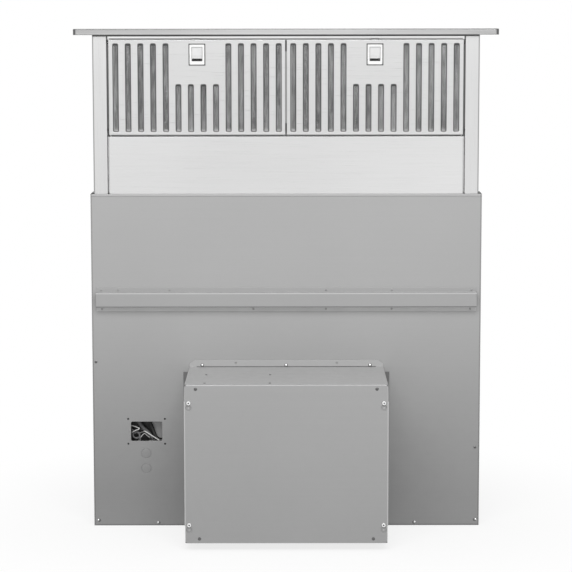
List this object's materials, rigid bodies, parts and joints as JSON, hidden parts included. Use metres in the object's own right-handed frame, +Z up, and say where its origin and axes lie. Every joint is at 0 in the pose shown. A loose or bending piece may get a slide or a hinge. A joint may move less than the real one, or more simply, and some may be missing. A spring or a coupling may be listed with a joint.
{
  "type": "downdraft vent",
  "caption": "Pop-up downdraft cooktop vent: a wide slotted riser with a flat cap that lifts out of a slim chassis carrying a front-mounted blower box.",
  "frame": {"origin": "centre of the chassis base, on its underside", "axes": "+Z up, +X to the right seen from the front, +Y towards the back"},
  "size_m": [0.9144, 0.296, 1.088],
  "materials": {
    "galvanised_steel": "matt grey",
    "stainless": "brushed",
    "bezel_white": "satin",
    "slider_face": "satin",
    "filter_mesh": "expanded mesh",
    "black_rubber": "matt",
    "black_nylon": "satin",
    "cast_alloy": "cast",
    "screw_steel": "ground",
    "brass": "machined",
    "white_wire": "satin",
    "dark_plastic": "moulded"
  },
  "bodies": {
    "chassis": {"chassis_front": "galvanised_steel", "chassis_back": "galvanised_steel", "chassis_base_pan": "galvanised_steel", "front_stiffener": "galvanised_steel", "chassis_side_left": "galvanised_steel", "chassis_side_right": "galvanised_steel", "top_glide_left": "black_nylon", "top_glide_right": "black_nylon", "junction_box": "galvanised_steel", "white_wire": "white_wire", "supply_cable": "black_rubber", "blower_top": "galvanised_steel", "blower_bottom": "galvanised_steel", "blower_side_left": "galvanised_steel", "blower_side_right": "galvanised_steel", "blower_cover": "galvanised_steel", "duct_collar": "galvanised_steel", "scroll_housing": "galvanised_steel", "motor_plate": "galvanised_steel", "inlet_ring": "galvanised_steel", "blower_motor": "cast_alloy", "run_capacitor": "cast_alloy", "screw_bearing_left": "cast_alloy", "screw_bearing_right": "cast_alloy", "sync_belt": "black_rubber", "motor_belt": "black_rubber", "motor_bracket": "galvanised_steel", "lift_motor": "cast_alloy", "control_module": "dark_plastic"},
    "riser": {"cap": "stainless", "cap_base": "stainless", "cap_gasket": "black_rubber", "header_rail": "stainless", "riser_front_panel": "stainless", "riser_back_panel": "stainless", "riser_sill": "galvanised_steel", "filter_ledge": "stainless", "column_left": "stainless", "column_right": "stainless", "lift_nut_left": "brass", "lift_nut_right": "brass", "lower_glide_left": "black_nylon", "lower_glide_right": "black_nylon"},
    "blower_wheel": {"blower_wheel": "galvanised_steel", "blower_shaft": "screw_steel"},
    "motor_pulley": {"motor_pulley": "cast_alloy"},
    "filter_left": {"filter_cover_left": "stainless", "grease_filter_left": "filter_mesh", "latch_bezel_left": "bezel_white", "latch_spring_left": "screw_steel"},
    "latch_left": {"latch_slider_left": "slider_face"},
    "filter_right": {"filter_cover_right": "stainless", "grease_filter_right": "filter_mesh", "latch_bezel_right": "bezel_white", "latch_spring_right": "screw_steel"},
    "latch_right": {"latch_slider_right": "slider_face"},
    "lead_screw_left": {"lead_screw_left": "screw_steel", "screw_pulley_left": "cast_alloy"},
    "lead_screw_right": {"lead_screw_right": "screw_steel", "screw_pulley_right": "cast_alloy"}
  },
  "joints": [
    {"name": "riser_lift", "type": "slide", "parent": "chassis", "child": "riser", "axis": [0, 0, 1], "range_m": [-0.34, 0]},
    {"name": "filter_tilt_left", "type": "hinge", "parent": "riser", "child": "filter_left", "pos_m": [-0.19135, -0.017, 0.866], "axis": [1, 0, 0], "range_deg": [0, 30]},
    {"name": "latch_slide_left", "type": "slide", "parent": "filter_left", "child": "latch_left", "axis": [0, 0, -1], "range_m": [0, 0.0045], "stiffness_N_per_m": 400, "springref_m": -0.004, "deforming": ["latch_spring_left"]},
    {"name": "filter_tilt_right", "type": "hinge", "parent": "riser", "child": "filter_right", "pos_m": [0.19135, -0.017, 0.866], "axis": [1, 0, 0], "range_deg": [0, 30]},
    {"name": "latch_slide_right", "type": "slide", "parent": "filter_right", "child": "latch_right", "axis": [0, 0, -1], "range_m": [0, 0.0045], "stiffness_N_per_m": 400, "springref_m": -0.004, "deforming": ["latch_spring_right"]},
    {"name": "screw_turn_left", "type": "hinge", "parent": "chassis", "child": "lead_screw_left", "pos_m": [-0.40135, 0, 0.03], "axis": [0, 0, 1], "range_deg": [0, 12240.1]},
    {"name": "screw_turn_right", "type": "hinge", "parent": "chassis", "child": "lead_screw_right", "pos_m": [0.40135, 0, 0.03], "axis": [0, 0, 1], "range_deg": [0, 12240.1]},
    {"name": "motor_turn", "type": "hinge", "parent": "chassis", "child": "motor_pulley", "pos_m": [0.35185, 0, 0.04], "axis": [0, 0, 1], "range_deg": [0, 12240.1]},
    {"name": "blower_spin", "type": "hinge", "parent": "chassis", "child": "blower_wheel", "pos_m": [0, -0.1, 0.178], "axis": [0, 1, 0], "continuous": true}
  ],
  "couplings": [
    {"joint": "screw_turn_left", "follows": "riser_lift", "rad_per_m": -628.32},
    {"joint": "screw_turn_right", "follows": "riser_lift", "rad_per_m": -628.32},
    {"joint": "motor_turn", "follows": "riser_lift", "rad_per_m": -628.32}
  ]
}
